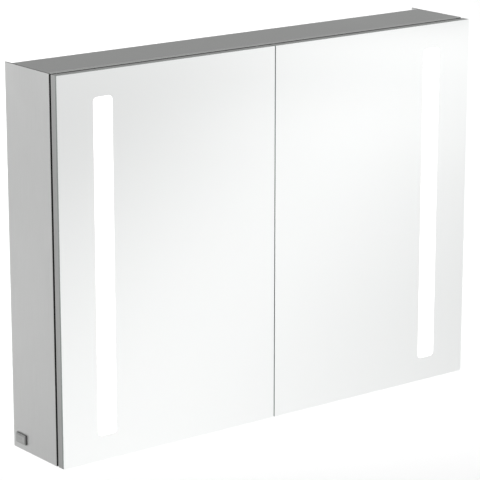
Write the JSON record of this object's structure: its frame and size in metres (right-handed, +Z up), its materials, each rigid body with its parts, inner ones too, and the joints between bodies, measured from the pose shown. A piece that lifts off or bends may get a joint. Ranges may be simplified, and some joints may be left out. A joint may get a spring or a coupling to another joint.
{
  "type": "medicine cabinet with mirror",
  "caption": "Wall-hung bathroom mirror cabinet with a grey aluminium case, hinged mirrored doors with lit frosted strips, glass shelves, sockets and a side push switch.",
  "frame": {"origin": "in the plane of the wall, midway between the two screw holes of the wall rail", "axes": "+X right along the wall, +Y into the wall, +Z up; the doors face -Y"},
  "size_m": [1.0038, 0.173, 0.75],
  "materials": {
    "anodised_sheet": "fine satin anodised sheet",
    "grey_panel": "satin grey anodised sheet",
    "edge_trim": "satin anodised extrusion",
    "white_board": "smooth white laminate",
    "mirror": "silvered float glass",
    "frosted_light": "frosted glass lit from behind",
    "door_frame": "satin anodised extrusion",
    "light_channel": "plain extrusion",
    "circuit_board": "white solder mask",
    "opal_sheet": "opal diffuser sheet",
    "shelf_glass": "clear float glass with polished edges",
    "nickel_hinge": "bright nickel plate",
    "zinc_steel": "bright zinc plate",
    "screw_steel": "plated steel",
    "black_foam": "closed-cell foam",
    "grey_rubber": "moulded rubber",
    "clear_pad": "soft clear pad",
    "socket_white": "moulded, glossy",
    "driver_white": "moulded, fine texture",
    "gland_grey": "moulded nylon",
    "switch_bezel": "moulded, dark grey sides",
    "switch_cap": "silver-grey moulded cap"
  },
  "bodies": {
    "cabinet": {"left_side_panel": "anodised_sheet", "right_side_panel": "anodised_sheet", "left_side_liner": "white_board", "right_side_liner": "white_board", "top_panel": "grey_panel", "bottom_panel": "grey_panel", "top_trim": "edge_trim", "bottom_trim": "edge_trim", "back_panel": "white_board", "partition": "white_board", "side_seals": "black_foam", "left_lower_shelf": "shelf_glass", "left_upper_shelf": "shelf_glass", "right_lower_shelf": "shelf_glass", "right_upper_shelf": "shelf_glass", "shelf_pegs": "nickel_hinge", "hinge_arms": "nickel_hinge", "hinge_plates": "nickel_hinge", "angle_brackets": "zinc_steel", "carcass_screws": "screw_steel", "wall_rail": "zinc_steel", "hangers": "zinc_steel", "hanger_screws": "screw_steel", "lower_spacers": "grey_rubber", "socket_housing": "socket_white", "socket_inserts": "socket_white", "cable_gland": "gland_grey", "lead_grommets": "grey_rubber", "led_driver": "driver_white", "switch_housing": "switch_bezel"},
    "left_door": {"left_door_mirror": "mirror", "left_door_light_window": "frosted_light", "left_door_hinge_stile": "door_frame", "left_door_lock_stile": "door_frame", "left_door_top_rail": "door_frame", "left_door_bottom_rail": "door_frame", "left_door_inner_mirror": "mirror", "left_door_light_channel": "light_channel", "left_door_led_board": "circuit_board", "left_door_diffuser": "opal_sheet", "left_door_hinge_cups": "nickel_hinge", "left_door_hinge_pins": "screw_steel", "left_door_cup_screws": "screw_steel", "left_door_stop_pads": "clear_pad"},
    "right_door": {"right_door_mirror": "mirror", "right_door_light_window": "frosted_light", "right_door_hinge_stile": "door_frame", "right_door_lock_stile": "door_frame", "right_door_top_rail": "door_frame", "right_door_bottom_rail": "door_frame", "right_door_inner_mirror": "mirror", "right_door_light_channel": "light_channel", "right_door_led_board": "circuit_board", "right_door_diffuser": "opal_sheet", "right_door_hinge_cups": "nickel_hinge", "right_door_hinge_pins": "screw_steel", "right_door_cup_screws": "screw_steel", "right_door_stop_pads": "clear_pad"},
    "switch_button": {"switch_button": "switch_cap"}
  },
  "joints": [
    {"name": "left_door_hinge", "type": "hinge", "parent": "cabinet", "child": "left_door", "pos_m": [-0.491, -0.164, -0.315], "axis": [0, 0, -1], "range_deg": [0, 95]},
    {"name": "right_door_hinge", "type": "hinge", "parent": "cabinet", "child": "right_door", "pos_m": [0.491, -0.164, -0.315], "axis": [0, 0, 1], "range_deg": [0, 95]},
    {"name": "switch_press", "type": "slide", "parent": "cabinet", "child": "switch_button", "axis": [1, 0, 0], "range_m": [0, 0.0015], "stiffness_N_per_m": 400, "springref_m": -0.002}
  ]
}
